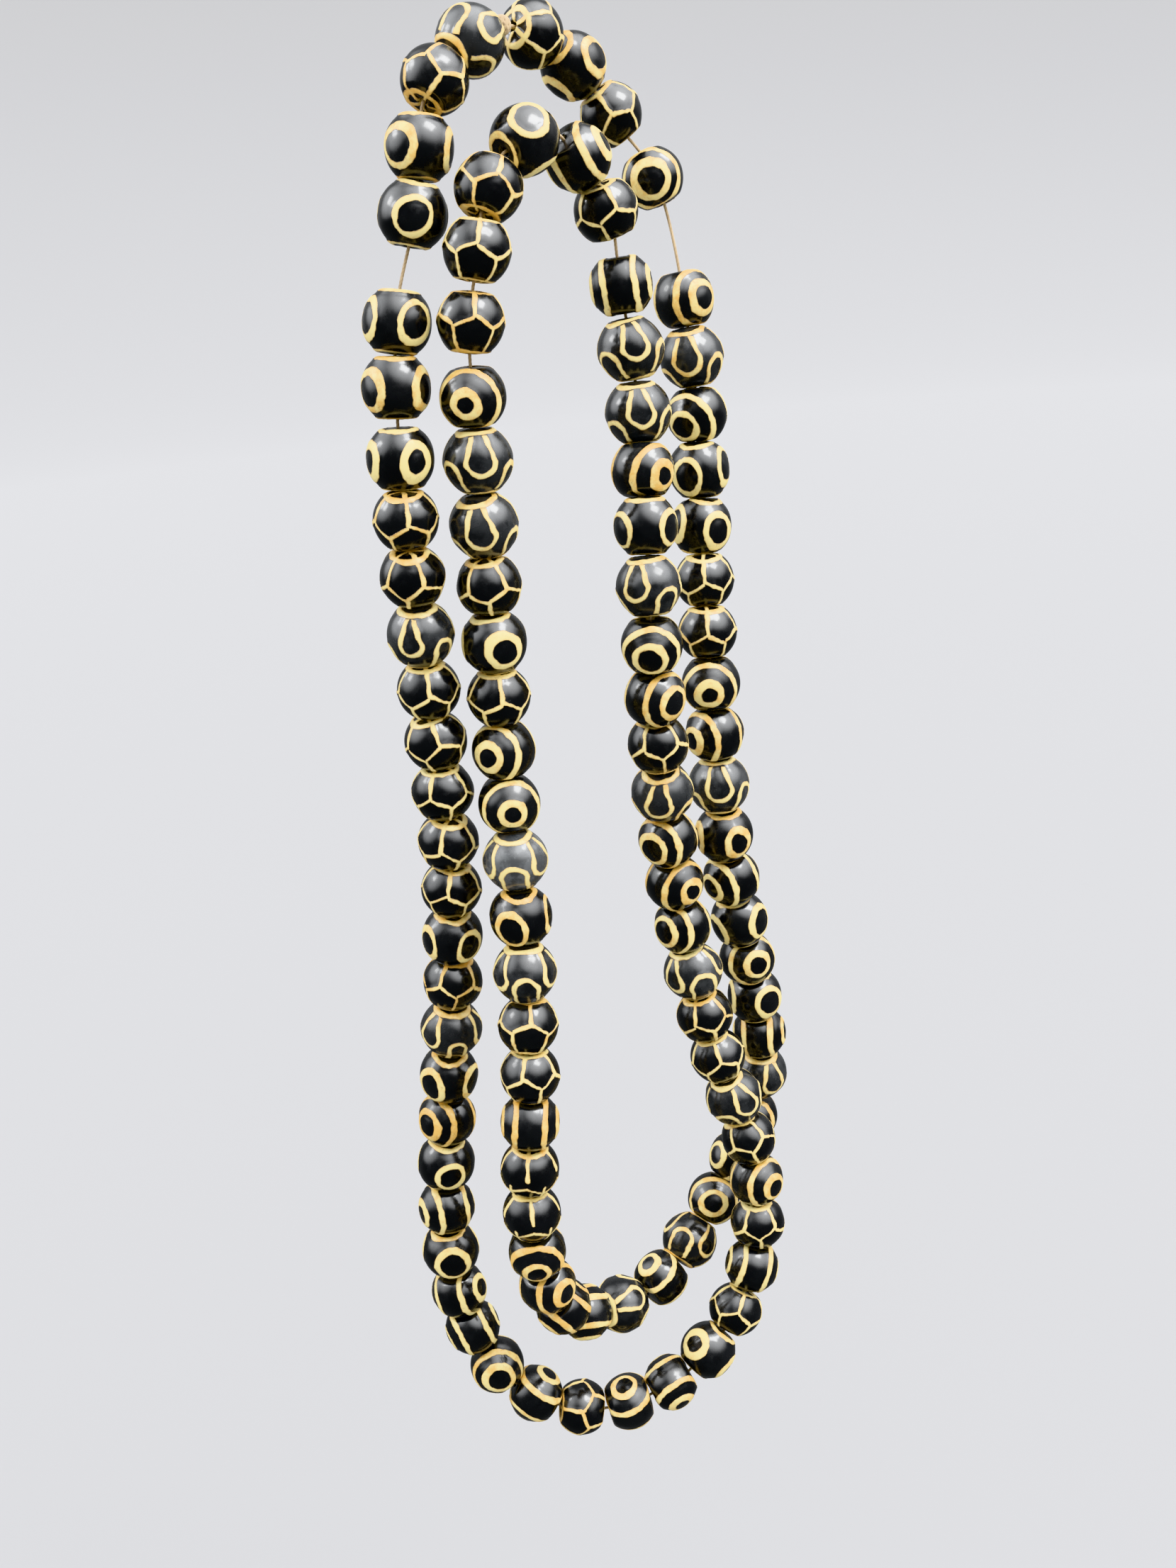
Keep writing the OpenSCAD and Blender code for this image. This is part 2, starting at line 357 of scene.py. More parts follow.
lens = bpy.data.cameras.new("camera")
lens.sensor_width = FILM_HEIGHT
lens.lens = FOCAL_PIXELS / PICTURE_HEIGHT * FILM_HEIGHT
lens.clip_start = 0.01
camera = bpy.data.objects.new("camera", lens)
turning = Matrix(np.stack([right, above, -ahead], axis=1).tolist())
camera.matrix_world = Matrix.Translation(EYE.tolist()) @ turning.to_4x4()
bpy.context.scene.collection.objects.link(camera)
bpy.context.scene.camera = camera
print("focal length", round(lens.lens, 2), "mm")

# %% [markdown]
# ## Meshes from grids
# Every surface here is a closed grid: rows along one direction and columns along the other, both joined back
# to their start. One helper turns a stack of such grids into one mesh. It also stores a UV map, in which
# every grid is unrolled into a tile of its own, so that a map painted on it has no overlaps.

# %% Grid helpers
# A tile is wider than high, because a bead is longer round its belt than along its side
TILE_ASPECT = 0.6
TILE_EDGE = 0.01


def grid_mesh(name, points, values):
    """A closed mesh from a stack of grids of points, each of which joins up in both directions.

    The points are grids by rows by columns. Each face takes the four corners between two rows and two
    columns. values is a dictionary of further grids that are stored at the points: one number or three each.
    """
    count, rows, columns = points.shape[:3]
    index = np.arange(count * rows * columns).reshape(count, rows, columns)
    next_row = np.roll(index, -1, axis=1)
    corners = np.stack([index, np.roll(index, -1, 2), np.roll(next_row, -1, 2), next_row], axis=-1)
    mesh = bpy.data.meshes.new(name)
    mesh.from_pydata(points.reshape(-1, 3), [], corners.reshape(-1, 4))
    mesh.shade_smooth()
    across = max(1, round(np.sqrt(TILE_ASPECT * count)))
    down = -(-count // across)
    tile, row, column = np.meshgrid(*(np.arange(size) for size in (count, rows, columns)), indexing="ij")
    ahead = np.stack([column, column + 1, column + 1, column], axis=-1) / columns
    upward = np.stack([row, row, row + 1, row + 1], axis=-1) / rows
    tile = tile[..., None]
    u = (tile % across + TILE_EDGE + (1 - 2 * TILE_EDGE) * ahead) / across
    v = (tile // across + TILE_EDGE + (1 - 2 * TILE_EDGE) * upward) / down
    unrolled = mesh.uv_layers.new(name="OFBake")
    unrolled.data.foreach_set("uv", np.stack([u, v], axis=-1).ravel())
    for label, grid in values.items():
        kind, field = ("FLOAT_VECTOR", "vector") if grid.ndim == 4 else ("FLOAT", "value")
        stored = mesh.attributes.new(label, kind, "POINT")
        stored.data.foreach_set(field, grid.ravel())
    return mesh


def add_piece(mesh, node, material):
    """An object at the origin that rides on the body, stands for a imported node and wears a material."""
    piece = bpy.data.objects.new(mesh.name, mesh)
    bpy.context.scene.collection.objects.link(piece)
    piece.data.materials.append(material)
    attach(piece, "root")
    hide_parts(node)
    return piece


print("grid helpers ready")

# %% [markdown]
# ## One formula for shape and colour
# The cream lines stand a little proud of the stone, so the mesh and the material must agree on where they
# are. The lines are therefore written once, as formulas of a direction from the bead's centre. A formula may
# be given numpy arrays, and then it shapes the mesh, or sockets of a node group, and then it grows Math
# nodes.

# %% Sockets that behave like numbers


class Socket:
    """A node output that is added, subtracted, multiplied and divided like a number."""

    def __init__(self, tree, output):
        self.tree = tree
        self.output = output

    def grow(self, operation, *values):
        """A Math node on these values, as a new socket."""
        node = self.tree.nodes.new("ShaderNodeMath")
        node.operation = operation
        for place, value in zip(node.inputs, values, strict=False):
            if isinstance(value, Socket):
                self.tree.links.new(value.output, place)
            else:
                place.default_value = float(value)
        return Socket(self.tree, node.outputs[0])

    def __add__(self, other):
        return self.grow("ADD", self, other)

    def __sub__(self, other):
        return self.grow("SUBTRACT", self, other)

    def __rsub__(self, other):
        return self.grow("SUBTRACT", other, self)

    def __mul__(self, other):
        return self.grow("MULTIPLY", self, other)

    def __truediv__(self, other):
        return self.grow("DIVIDE", self, other)

    __radd__ = __add__
    __rmul__ = __mul__


def both_ways(operation, on_arrays):
    """A function that works on numpy arrays and, through a Math node, on sockets."""

    def apply(*values):
        sockets = [value for value in values if isinstance(value, Socket)]
        if sockets:
            return sockets[0].grow(operation, *values)
        return on_arrays(*values)

    return apply


sine = both_ways("SINE", np.sin)
cosine = both_ways("COSINE", np.cos)
arcsine = both_ways("ARCSINE", lambda value: np.arcsin(np.clip(value, -1, 1)))
arccosine = both_ways("ARCCOSINE", lambda value: np.arccos(np.clip(value, -1, 1)))
angle_of = both_ways("ARCTAN2", np.arctan2)
root = both_ways("SQRT", np.sqrt)
magnitude = both_ways("ABSOLUTE", np.abs)
sign = both_ways("SIGN", np.sign)
smaller = both_ways("MINIMUM", np.minimum)
larger = both_ways("MAXIMUM", np.maximum)
fold = both_ways("PINGPONG", lambda value, half: np.abs((value - half) % (2 * half) - half))


def rise(value, low, high):
    """Smooth step: 0 below low, 1 above high, and t * t * (3 - 2 * t) between them."""
    t = larger(smaller((value - low) / (high - low), 1.0), 0.0)
    return t * t * (3.0 - 2.0 * t)


print("fold(50 deg, 36 deg) =", round(float(fold(50.0, 36.0)), 1), "deg")

# %% [markdown]
# ## The traditional patterns
# The lines are drawn by hand, so the direction is first pushed about by slow waves, different for each bead.
# Each pattern then gives one number: how far a direction lies outside the nearest line, as an angle. Inside
# a line the number is negative. Angles make the same pattern fit beads of any size. Every pattern takes the
# bead's own seed and two sizes, which mean what suits it.

# %% Formulas that the patterns share
DEG = np.pi / 180
END_RING_AT = 32.5 * DEG
END_RING_HALF = 5.3 * DEG


def drawn_by_hand(x, y, z, seed):
    """A unit direction pushed by two waves along each axis, with phases from the bead's seed."""
    x, y, z = (
        x + 0.020 * sine(3.7 * y + 2.9 * z + 41 * seed) + 0.009 * sine(11 * z - 9 * y + 67 * seed),
        y + 0.020 * sine(3.3 * z + 3.5 * x + 59 * seed) + 0.009 * sine(10 * x - 12 * z + 31 * seed),
        z + 0.026 * sine(4.1 * x + 3.1 * y + 23 * seed) + 0.009 * sine(12 * y - 10 * x + 83 * seed),
    )
    length = root(x * x + y * y + z * z)
    return x / length, y / length, z / length


def thick_and_thin(x, y, z, seed):
    """Change of a line's half width along its way, as an angle: two waves that cross the bead."""
    slow = sine(5.3 * x + 4.7 * y - 6.1 * z + 53 * seed)
    quick = sine(17 * x - 15 * y + 19 * z + 29 * seed)
    return (0.75 * slow + 0.4 * quick) * DEG


def end_rings(x, y, z):
    """Outside an end ring: the angle from the nearer end of the bore, less that of the ring."""
    from_end = angle_of(root(x * x + y * y), magnitude(z))
    return magnitude(from_end - END_RING_AT) - END_RING_HALF


print("end rings at", round(END_RING_AT / DEG, 1), "deg from the bore")

# %% [markdown]
# ## Zigzag belt
# Five pentagons above and five below share a zigzag line round the belt. Folding the longitude, as a paper
# lantern folds, makes one corner of the zigzag do for all ten.

# %% Formula of the zigzag belt
ZIGZAG_FOLD = 36 * DEG
ZIGZAG_HEIGHT = 9.5 * DEG
ZIGZAG_SLOPE = 0.56
ZIGZAG_HALF = 3.3 * DEG
UPRIGHT_END = 11 * DEG
UPPER_HALF = 4.0 * DEG
LOWER_HALF = 3.7 * DEG


def zigzag_belt(x, y, z, seed, drop, _):
    """Five lines down from the upper ring, a zigzag round the belt, and five lines to the lower ring.

    The longitude is folded to its distance from the nearest upper corner. The zigzag is a straight slope in
    it, lower by the bead's own drop, each stroke a little off the next. The upright lines are distances to a
    meridian, ended where a zigzag without a drop would meet them.
    """
    radius = root(x * x + y * y)
    longitude = angle_of(y, x)
    across = fold(longitude, ZIGZAG_FOLD)
    height = angle_of(z, radius)
    stroke = 2.2 * DEG * sign(sine(5.0 * longitude)) * sine(2.0 * longitude + 47 * seed)
    slope = height + drop - (ZIGZAG_HEIGHT - across * ZIGZAG_SLOPE) - stroke
    belt = magnitude(slope) * 0.87 - ZIGZAG_HALF
    slack = larger(4.0 * DEG * sine(2.0 * longitude + 37 * seed) - 1.5 * DEG, 0.0)
    above = larger(UPRIGHT_END + slack - height, 0.0)
    upper_side = across * radius
    upper = root(upper_side * upper_side + above * above) - UPPER_HALF
    below = larger(height + UPRIGHT_END, 0.0)
    lower_side = (ZIGZAG_FOLD - across) * radius
    lower = root(lower_side * lower_side + below * below) - LOWER_HALF
    return smaller(smaller(belt, smaller(upper, lower)), end_rings(x, y, z))


distance = zigzag_belt(np.cos(0.2), 0.0, np.sin(0.2), 0.5, 0.0, 0.0)
print("a point near an upper corner lies", round(float(distance / DEG), 1), "deg outside the lines")

# %% [markdown]
# ## Eyes
# An eye is a ring about a round pupil of bare stone. Three of them stand round the belt of one kind of bead.
# The other kind has two, opposite each other, and a wide circle round each.

# %% Formulas of the eyes
CIRCLE_AT = 61 * DEG
CIRCLE_HALF = 6.3 * DEG


def eye_ring(toward, x, y, z, seed, ring, pupil):
    """Outside a ring about an eye, from the cosine of the angle to the eye's middle.

    The ring reaches from the edge of the pupil to its own outer edge, and a wave pushes the pupil off centre.
    """
    angle = arccosine(toward)
    shifted = angle + 2.2 * DEG * sine(1.7 * x - 2.3 * y + 3.1 * z + 71 * seed)
    return larger(angle - ring, pupil - shifted)


def three_eyes(x, y, z, seed, ring, pupil):
    """Three ringed eyes round the belt and a ring at each end."""
    radius = root(x * x + y * y)
    toward = radius * cosine(fold(angle_of(y, x), 60 * DEG))
    return smaller(eye_ring(toward, x, y, z, seed, ring, pupil), end_rings(x, y, z))


def two_ringed_eyes(x, y, z, seed, ring, pupil):
    """Two opposite eyes, and round each a wide circle that reads as a straight stripe from the side."""
    toward = magnitude(x)
    circle = magnitude(arccosine(toward) - CIRCLE_AT) - CIRCLE_HALF
    return smaller(eye_ring(toward, x, y, z, seed, ring, pupil), circle)


print("circles", round(CIRCLE_AT / DEG), "deg from each eye")

# %% [markdown]
# ## Petals
# Three drop-shaped loops hang from the upper ring, and three smaller ones stand between them on the lower
# ring. The outline of a loop is a half circle below and two closing sides above.

# %% Formulas of the petals
PETAL_HALF = 4.6 * DEG
PETAL_END = 52 * DEG


def petal(across, height, radius, middle, reach, taper):
    """Outside the outline of a petal that hangs from the end ring.

    side is the distance from the petal's meridian and drop the height along it. Below the middle the outline
    is a half circle of the given reach, and above it the two sides close in evenly towards the ring.
    """
    side = arcsine(radius * magnitude(sine(across)))
    drop = angle_of(height, radius * cosine(across))
    under = smaller(drop - middle, 0.0)
    width = reach - taper * larger(drop - middle, 0.0)
    outline = magnitude(root(side * side + under * under) - width)
    return larger(outline - PETAL_HALF, drop - PETAL_END)


def petals(x, y, z, seed, upper_reach, lower_reach):
    """Three petals from the upper ring and three smaller ones between them from the lower ring."""
    radius = root(x * x + y * y)
    longitude = angle_of(y, x)
    across = fold(longitude, 60 * DEG)
    upper = petal(across, z, radius, 7 * DEG, upper_reach, 0.30)
    start = 20 * DEG + 7 * DEG * sine(longitude + 61 * seed)
    lower = petal(60 * DEG - across, -1.0 * z, radius, start, lower_reach, 0.10)
    return smaller(smaller(upper, lower), end_rings(x, y, z))


print("petal lines are", round(2 * PETAL_HALF / DEG, 1), "deg wide")

# %% [markdown]
# ## One distance for every bead
# The mesh and the materials both call the next function and no other. It moves the direction as an unsteady
# brush would, asks the bead's own pattern, and makes the line thicker or thinner along its way.

# %% All the patterns
PATTERNS = {"T": zigzag_belt, "E": three_eyes, "S": two_ringed_eyes, "L": petals}


def line_distance(pattern, x, y, z, seed, ring, pupil):
    """Angle outside the nearest line of a pattern, drawn by hand and with an uneven width."""
    x, y, z = drawn_by_hand(x, y, z, seed)
    return pattern(x, y, z, seed, ring, pupil) - thick_and_thin(x, y, z, seed)


print("patterns:", ", ".join(PATTERNS))

# %% [markdown]
# ## The shape of a bead
# A bead is a turned shape with a hole, so its surface is a ring: the outline runs up the outside, over the
# domed end, down the bore and back. The outline is rounded a little by averaging, as tumbling rounds a ground
# edge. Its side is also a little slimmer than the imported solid's, because the shoulder is worn, and its rows
# are spaced closer on the outside. The lines then lift the surface by about a tenth of a millimetre.

# %% Outline of a bead
COLUMNS = 96
OUTSIDE_ROWS = 40
BORE_ROWS = 4
# The side's fullness is at most this, less a little for wear
FULLEST = 2.2
SLIMMER_BY = 0.08
# The end dome falls off by this power
DOME_POWER = 1.35
# The outline is drawn with so many points, and each is averaged with so many on either side of it
OUTLINE_POINTS = 800
ROUNDED_OVER = 20


def bead_outline(letter):
    """Radius and height along the closed outline, from the lower mouth of the bore up the outside and back.

    The side is a superellipse up to the shoulder. The end is a shallow dome, lower by a power of the distance
    from the lip, and the lip slopes into the bore. A moving average rounds the corners, and the rows are then
    spread evenly by length, apart from the bore, which takes few.
    """
    belt, half, fullness = bead_size(letter)
    shoulder_z = half - DOME_HEIGHT
    z = np.linspace(0, shoulder_z, 90)
    r = side_radius(z, belt, min(fullness, FULLEST) - SLIMMER_BY)
    lip = BORE_RADIUS + LIP_WIDTH
    end_r = np.linspace(r[-1], lip, 50)[1:]
    end_z = half - DOME_HEIGHT * ((end_r - lip) / (r[-1] - lip)) ** DOME_POWER
    mouth_r = np.linspace(lip, BORE_RADIUS, 8)[1:]
    mouth_z = half - LIP_DEPTH * (lip - mouth_r) / LIP_WIDTH
    r = np.concatenate([r, end_r, mouth_r])
    z = np.concatenate([z, end_z, mouth_z])
    r = np.concatenate([r[::-1], r[1:]])
    z = np.concatenate([-z[::-1], z[1:]])
    length = np.concatenate([[0], np.cumsum(np.hypot(np.diff(r), np.diff(z)))])
    fine = np.linspace(0, length[-1], OUTLINE_POINTS)
    window = np.hanning(2 * ROUNDED_OVER + 3)[1:-1]
    window = window / window.sum()
    spread = [np.pad(np.interp(fine, length, values), ROUNDED_OVER, "edge") for values in (r, z)]
    smooth = [np.convolve(values, window, "valid") for values in spread]
    rows = np.linspace(0, length[-1], OUTSIDE_ROWS)
    outside = np.stack([np.interp(rows, fine, values) for values in smooth], axis=-1)
    bore_z = np.linspace(outside[-1, 1], outside[0, 1], BORE_ROWS + 2)[1:-1]
    bore = np.stack([np.full(BORE_ROWS, BORE_RADIUS), bore_z], axis=-1)
    return np.concatenate([outside, bore])


OUTLINES = {letter: bead_outline(letter) for letter in sorted(set(STRING))}
print("outlines:", {letter: len(outline) for letter, outline in OUTLINES.items()})

# %% [markdown]
# ## The raised surface
# On the real bead the lines are a thin layer on the stone. Here the turned surface is pushed outwards where
# the pattern says that a line is, so the relief is real geometry. The lift is in millimetres, and the end
# rings stand a little higher than the belt.

# %% Surface of a bead with its lines
LINE_LIFT = 0.08
RING_LIFT = 0.07
STONE_SINK = 0.02
# The lift runs out over these angles from a line's edge, inside and outside
LIFT_INSIDE = -1.2 * DEG
LIFT_OUTSIDE = 2.6 * DEG
around = np.linspace(0, 2 * np.pi, COLUMNS, endpoint=False)


def bead_surface(letter, own, skew, crowded=0.0):
    """Grid of a bead's points in millimetres, in its own frame, and their directions in the pattern's frame.

    own holds the bead's seed and the two sizes of its pattern, and skew turns directions into the pattern's
    frame. A crowded pattern is drawn at each angle plus a share of its sine, so it is closer together on the
    viewer's side. The outline is turned round the bore. Each point then moves along the outline's normal:
    down by the sink of the stone, up by the lift where a line is, and by a slow wave, because a hand-ground
    bead is never round.
    """
    outline = OUTLINES[letter]
    tangent = unit(np.roll(outline, -1, axis=0) - np.roll(outline, 1, axis=0))
    r = outline[:, :1]
    z = outline[:, 1:] + 0 * around
    plain = np.stack([r * np.cos(around), r * np.sin(around), z], axis=-1)
    drawn_at = around + crowded * np.sin(around)
    facing = unit(np.stack([r * np.cos(drawn_at), r * np.sin(drawn_at), z], axis=-1)) @ skew
    x, y, z = facing[..., 0], facing[..., 1], facing[..., 2]
    distance = line_distance(PATTERNS[letter.upper()], x, y, z, *own)
    raised = 1 - rise(distance, LIFT_INSIDE, LIFT_OUTSIDE)
    seed = own[0]
    uneven = 0.03 * np.sin(2.3 * x + 1.7 * y + 40 * seed) + 0.02 * np.sin(3.9 * y - 4.3 * z + 70 * seed)
    belted = 1 - unit(plain)[..., 2] ** 4
    lift = LINE_LIFT + RING_LIFT * (1 - belted)
    move = lift * raised - STONE_SINK * belted + (uneven - 0.02) * belted
    inside_bore = np.arange(len(outline)) >= OUTSIDE_ROWS - 1
    move[inside_bore] = 0
    move[0] = 0
    outwards = np.stack([np.cos(around), np.sin(around), 0 * around], axis=-1)
    out_r = (tangent[:, 1:] * move)[..., None] * outwards
    out_z = -(tangent[:, :1] * move)[..., None] * np.array([0.0, 0.0, 1.0])
    return plain + out_r + out_z, facing


shape, _ = bead_surface("T", (0.5, 0, 0), np.eye(3))
widest = round(float(shape[..., 0].max()), 2)
print("a bead has", 2 * shape.shape[0] * shape.shape[1], "triangles and reaches", widest, "mm from its bore")

# %% [markdown]
# ## Node groups for the finishes
# Both finishes, stone and line, are used by the four bead materials, so each is one node group with its own
# values in each material. The small helpers below make a group, feed it noise and hand back its outputs. A
# group gives out colours, masks and heights. The shader itself stays in the material.

# %% Helpers for node groups


def new_group(name, inputs, outputs):
    """An empty node group with named sockets, and its inputs as sockets that behave like numbers."""
    group = bpy.data.node_groups.new(name, "ShaderNodeTree")
    for label, kind in inputs:
        group.interface.new_socket(label, in_out="INPUT", socket_type="NodeSocket" + kind)
    for label, kind in outputs:
        group.interface.new_socket(label, in_out="OUTPUT", socket_type="NodeSocket" + kind)
    given = group.nodes.new("NodeGroupInput")
    wanted = group.nodes.new("NodeGroupOutput")
    return group, {label: Socket(group, given.outputs[label]) for label, _ in inputs}, wanted


def feed(tree, place, value):
    """Links a socket to an input, or sets the input to a plain value."""
    if isinstance(value, Socket):
        tree.links.new(value.output, place)
    else:
        place.default_value = value


def split(tree, vector):
    """The three numbers of a vector."""
    node = tree.nodes.new("ShaderNodeSeparateXYZ")
    tree.links.new(vector.output, node.inputs[0])
    return [Socket(tree, output) for output in node.outputs]


def noise(tree, place, scale, seed, detail=2.0, roughness=0.5):
    """Value of a noise that differs from bead to bead, because the seed is its fourth dimension."""
    node = tree.nodes.new("ShaderNodeTexNoise")
    node.noise_dimensions = "4D"
    feed(tree, node.inputs["Vector"], place)
    feed(tree, node.inputs["W"], seed * 37.0)
    node.inputs["Scale"].default_value = scale
    node.inputs["Detail"].default_value = detail
    node.inputs["Roughness"].default_value = roughness
    return Socket(tree, node.outputs[0])


def blend_colour(tree, share, first, second):
    """Colour between two colours."""
    node = tree.nodes.new("ShaderNodeMix")
    node.data_type = "RGBA"
    feed(tree, node.inputs["Factor"], share)
    feed(tree, node.inputs[6], first)
    feed(tree, node.inputs[7], second)
    return Socket(tree, node.outputs[2])


def use_group(tree, group, values):
    """Places a group in a tree with these inputs, and gives its outputs by name."""
    node = tree.nodes.new("ShaderNodeGroup")
    node.node_tree = group
    for label, value in values.items():
        feed(tree, node.inputs[label], value)
    return {output.name: Socket(tree, output) for output in node.outputs}


print("group helpers ready")

# %% [markdown]
# ## Where the lines are, as nodes
# Each pattern becomes a node group by giving its formula the sockets of the group. The result is the same
# distance that shapes the mesh, so colour and relief meet exactly. A fine noise frays the border, because the
# real lines have small nicks.

# %% Pattern groups


def pattern_group(name, pattern):
    """Node group that gives the distance outside the lines of a pattern, in degrees, for a direction."""
    inputs = [("Direction", "Vector"), ("Own", "Vector")]
    group, given, wanted = new_group(name, inputs, [("Distance", "Float")])
    seed, ring, pupil = split(group, given["Own"])
    x, y, z = split(group, given["Direction"])
    length = root(x * x + y * y + z * z)
    distance = line_distance(pattern, x / length, y / length, z / length, seed, ring, pupil)
    fray = noise(group, given["Direction"], 9.0, seed, 3.0, 0.6) - 0.5
    nicks = noise(group, given["Direction"], 30.0, seed, 2.0, 0.5) - 0.5
    total = distance / DEG + 2.2 * fray + 1.1 * nicks
    feed(group, wanted.inputs["Distance"], total)
    return group


PATTERN_NAMES = {"T": "Zigzag belt", "E": "Three eyes", "S": "Two ringed eyes", "L": "Petals"}
pattern_groups = {letter: pattern_group(PATTERN_NAMES[letter], PATTERNS[letter]) for letter in PATTERNS}
print({name: len(group.nodes) for name, group in pattern_groups.items()})

# %% [markdown]
# ## The raised cream line
# The lines are a pale glaze-like layer: cream where it is thick, honey and tan where it is stained or thins
# out towards its borders, with dirt along them and hairline cracks across. It is duller than the stone. The
# end rings are rubbed by the next bead and are more orange.

# %% Line finish as a node group
CREAM = (0.90, 0.765, 0.355, 1)
HONEY = (0.80, 0.50, 0.14, 1)
PALE_CREAM = (0.95, 0.88, 0.50, 1)
TAN = (0.66, 0.38, 0.10, 1)
CRACK_BROWN = (0.30, 0.16, 0.06, 1)
DIRT_BROWN = (0.33, 0.19, 0.08, 1)


def line_finish_group():
    """Node group with the share, colour, roughness and height of the line, from the distance outside it."""
    inputs = [("Distance", "Float"), ("Direction", "Vector"), ("Seed", "Float"), ("Warmth", "Float")]
    outputs = [("Share", "Float"), ("Color", "Color"), ("Roughness", "Float"), ("Height", "Float")]
    group, given, wanted = new_group("Raised cream line", inputs, outputs)
    distance, place, seed = given["Distance"], given["Direction"], given["Seed"]
    share = 1.0 - rise(distance, -0.35, 0.45)
    stain = noise(group, place, 2.6, seed, 3.0, 0.6)
    mottle = noise(group, place, 11.0, seed, 3.0, 0.6)
    x, y, z = split(group, place)
    near_end = rise(magnitude(z), 0.62, 0.86)
    honey = rise(stain + 0.35 * (mottle - 0.5) + given["Warmth"] + 0.12 * near_end, 0.45, 0.80)
    colour = blend_colour(group, honey, CREAM, HONEY)
    pale = rise(mottle, 0.52, 0.75) * 0.45
    colour = blend_colour(group, pale, colour, PALE_CREAM)
    cells = group.nodes.new("ShaderNodeTexVoronoi")
    cells.voronoi_dimensions = "4D"
    cells.feature = "DISTANCE_TO_EDGE"
    cells.inputs["Scale"].default_value = 5.5
    feed(group, cells.inputs["Vector"], place)
    feed(group, cells.inputs["W"], seed * 19.0)
    cracks = 1.0 - rise(Socket(group, cells.outputs["Distance"]), 0.004, 0.03)
    worn = noise(group, place, 5.0, seed, 2.0, 0.5)
    cracks = cracks * rise(worn, 0.48, 0.62)
    colour = blend_colour(group, cracks * 0.4, colour, CRACK_BROWN)
    thin = rise(distance, -3.0, 0.0)
    colour = blend_colour(group, thin * (0.15 + 0.55 * stain), colour, TAN)
    dirty = rise(distance, -2.0, 0.2)
    colour = blend_colour(group, dirty * (0.35 + 0.5 * (1.0 - worn)), colour, DIRT_BROWN)
    feed(group, wanted.inputs["Share"], share)
    feed(group, wanted.inputs["Color"], colour)
    feed(group, wanted.inputs["Roughness"], 0.30 + 0.25 * mottle + 0.15 * cracks)
    feed(group, wanted.inputs["Height"], share * (0.8 + 0.35 * mottle) - 0.3 * cracks * share)
    return group


line_finish = line_finish_group()
print(line_finish.name, "has", len(line_finish.nodes), "nodes")

# %% [markdown]
# ## The agate
# Most beads are dyed nearly black. The petal beads are a smoky grey that lets a little light in, with faint
# clouds. All are polished, and the polish varies: fine rub marks from the neighbours and a thin film of
# grease make the highlights soft in places.

# %% Stone finish as a node group
JET = (0.0035, 0.0035, 0.0038, 1)
SMOKY_GREY = (0.115, 0.12, 0.125, 1)


def agate_group():
    """Node group with the colour, roughness and height of the polished stone."""
    inputs = [("Direction", "Vector"), ("Seed", "Float"), ("Smoke", "Float")]
    outputs = [("Color", "Color"), ("Roughness", "Float"), ("Height", "Float")]
    group, given, wanted = new_group("Polished agate", inputs, outputs)
    place, seed = given["Direction"], given["Seed"]
    clouds = noise(group, place, 1.7, seed, 4.0, 0.6)
    bands = sine(22.0 * clouds + 5.0 * seed)
    smoke = given["Smoke"] * (0.5 + 0.9 * rise(clouds, 0.35, 0.7) + 0.12 * bands)
    colour = blend_colour(group, smoke, JET, SMOKY_GREY)
    smears = noise(group, place, 4.0, seed, 3.0, 0.6)
    pits = noise(group, place, 46.0, seed, 2.0, 0.5)
    feed(group, wanted.inputs["Color"], colour)
    feed(group, wanted.inputs["Roughness"], 0.17 + 0.17 * rise(smears, 0.42, 0.72) + 0.04 * pits)
    feed(group, wanted.inputs["Height"], 0.04 * pits + 0.05 * smears)
    return group


agate = agate_group()
print(agate.name, "has", len(agate.nodes), "nodes")

# %% [markdown]
# ## Four bead materials
# A material reads what its mesh carries: the direction from the bead's centre, and the bead's own values,
# which are its seed and the two sizes of its pattern. It asks the pattern where the lines are, mixes stone
# and line by that, and turns the heights into a bump that sharpens the edge of the relief.

# %% Bead materials
STONE_IOR = 1.54
RELIEF_BUMP = 0.045 * MM
# A bead's seed also makes its lines warmer or cooler, by this much in all
WARMTH_DIFFERS = 0.35


def read_value(tree, name, output):
    """A value that the mesh carries, as a socket."""
    node = tree.nodes.new("ShaderNodeAttribute")
    node.attribute_name = name
    return Socket(tree, node.outputs[output])


def new_material(name):
    """An empty material with a Principled shader, and its tree."""
    material = bpy.data.materials.new(name)
    material.use_nodes = True
    tree = material.node_tree
    shader = tree.nodes["Principled BSDF"]
    return material, tree, shader


def add_bump(tree, shader, height, distance):
    """A Bump node from a height to the shader's normal, with the depth of the height in metres."""
    bump = tree.nodes.new("ShaderNodeBump")
    bump.inputs["Strength"].default_value = 1.0
    bump.inputs["Distance"].default_value = distance
    feed(tree, bump.inputs["Height"], height)
    tree.links.new(bump.outputs[0], shader.inputs["Normal"])


